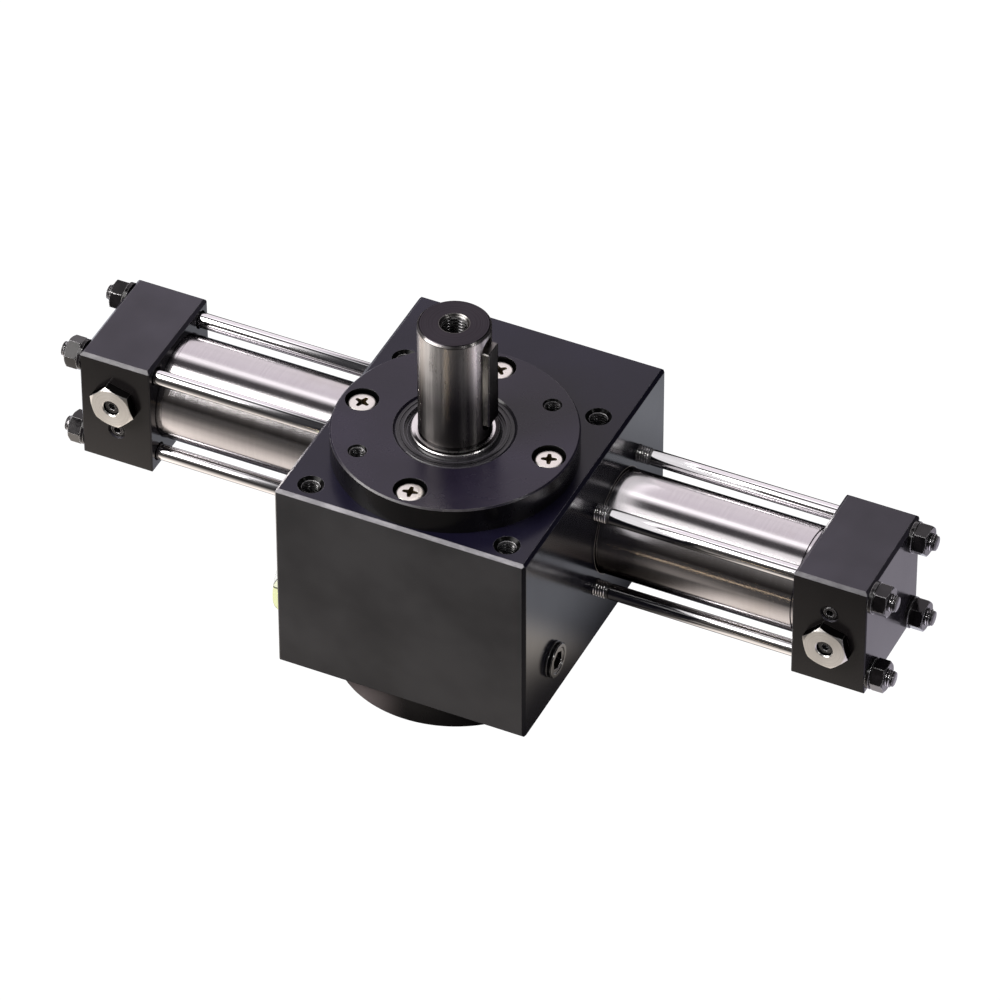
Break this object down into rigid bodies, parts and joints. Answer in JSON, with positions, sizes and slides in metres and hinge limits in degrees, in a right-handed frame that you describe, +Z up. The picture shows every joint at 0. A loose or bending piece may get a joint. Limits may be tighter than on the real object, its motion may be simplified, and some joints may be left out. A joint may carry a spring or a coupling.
{
  "type": "hydraulic rotary actuator",
  "caption": "Rack-and-pinion hydraulic rotary actuator: keyed output shaft on a pinion housing, driven half a turn by a double-ended piston rack in tie-rod cylinders.",
  "frame": {"origin": "output shaft's axis at the lower cover's bottom face, the face the actuator stands on", "axes": "+Z up along the output shaft, +X along the cylinders towards the drain plug's side, -Y towards the side with the cushion cartridges, away from the cylinders"},
  "size_m": [0.5, 0.18, 0.229],
  "materials": {
    "black_housing": "satin",
    "black_cover": "satin",
    "black_cap": "satin",
    "honed_barrel": "polished",
    "tie_rod_steel": "polished",
    "ground_shaft": "ground",
    "key_steel": "drawn",
    "turned_steel": "turned",
    "bright_screws": "zinc plated",
    "black_fasteners": "black oxide",
    "bearing_steel": "ground",
    "rack_steel": "milled",
    "bronze": "machined",
    "seal_rubber": "matt",
    "guide_plastic": "matt",
    "clear_glass": "clear"
  },
  "bodies": {
    "body": {"housing": "black_housing", "top_cover": "black_cover", "top_cover_screws": "bright_screws", "bottom_cover": "black_cover", "bottom_cover_screws": "black_fasteners", "top_cover_oring": "seal_rubber", "bottom_cover_oring": "seal_rubber", "shaft_seal": "seal_rubber", "seal_garter_spring": "bearing_steel", "upper_bearing_outer_ring": "bearing_steel", "lower_bearing_outer_ring": "bearing_steel", "rack_guide_shoe": "bronze", "left_barrel": "honed_barrel", "right_barrel": "honed_barrel", "left_barrel_orings": "seal_rubber", "right_barrel_orings": "seal_rubber", "left_end_cap": "black_cap", "right_end_cap": "black_cap", "left_tie_rods": "tie_rod_steel", "right_tie_rods": "tie_rod_steel", "left_rod_washers": "black_fasteners", "right_rod_washers": "black_fasteners", "left_rod_nuts": "black_fasteners", "right_rod_nuts": "black_fasteners", "left_cushion_cartridge": "turned_steel", "right_cushion_cartridge": "turned_steel", "left_check_plug": "black_fasteners", "right_check_plug": "black_fasteners", "drain_plug": "black_fasteners", "drain_plug_washer": "black_fasteners", "sight_glass": "clear_glass", "sight_glass_oring": "seal_rubber"},
    "shaft": {"output_shaft": "ground_shaft", "shaft_key": "key_steel", "upper_bearing_inner_ring": "bearing_steel", "lower_bearing_inner_ring": "bearing_steel"},
    "upper_ball_set": {"upper_bearing_balls": "bearing_steel", "upper_bearing_cage": "bronze"},
    "lower_ball_set": {"lower_bearing_balls": "bearing_steel", "lower_bearing_cage": "bronze"},
    "rack_and_pistons": {"rack": "rack_steel", "left_piston": "turned_steel", "right_piston": "turned_steel", "left_piston_seal": "seal_rubber", "right_piston_seal": "seal_rubber", "left_piston_guide_rings": "guide_plastic", "right_piston_guide_rings": "guide_plastic", "left_cushion_spear": "turned_steel", "right_cushion_spear": "turned_steel"},
    "left_needle": {"left_cushion_needle": "turned_steel"},
    "right_needle": {"right_cushion_needle": "turned_steel"},
    "left_ball": {"left_check_ball": "bearing_steel"},
    "right_ball": {"right_check_ball": "bearing_steel"}
  },
  "joints": [
    {"name": "shaft_turn", "type": "hinge", "parent": "body", "child": "shaft", "pos_m": [0, 0, 0.14], "axis": [0, 0, 1], "range_deg": [-90, 90]},
    {"name": "rack_slide", "type": "slide", "parent": "body", "child": "rack_and_pistons", "axis": [1, 0, 0], "range_m": [-0.0472, 0.0472]},
    {"name": "upper_balls_roll", "type": "hinge", "parent": "body", "child": "upper_ball_set", "pos_m": [0, 0, 0.12], "axis": [0, 0, 1], "range_deg": [-37.5, 37.5]},
    {"name": "lower_balls_roll", "type": "hinge", "parent": "body", "child": "lower_ball_set", "pos_m": [0, 0, 0.037], "axis": [0, 0, 1], "range_deg": [-37.5, 37.5]},
    {"name": "left_needle_turn", "type": "hinge", "parent": "body", "child": "left_needle", "pos_m": [-0.2145, 0.0135, 0.086], "axis": [0, -1, 0], "range_deg": [-360, 360]},
    {"name": "right_needle_turn", "type": "hinge", "parent": "body", "child": "right_needle", "pos_m": [0.2145, 0.0135, 0.072], "axis": [0, -1, 0], "range_deg": [-360, 360]},
    {"name": "left_ball_lift", "type": "slide", "parent": "body", "child": "left_ball", "axis": [0, -1, 0], "range_m": [0, 0.003]},
    {"name": "right_ball_lift", "type": "slide", "parent": "body", "child": "right_ball", "axis": [0, -1, 0], "range_m": [0, 0.003]}
  ],
  "couplings": [
    {"joint": "rack_slide", "follows": "shaft_turn", "m_per_rad": -0.03},
    {"joint": "upper_balls_roll", "follows": "shaft_turn", "ratio": 0.409},
    {"joint": "lower_balls_roll", "follows": "shaft_turn", "ratio": 0.409}
  ]
}
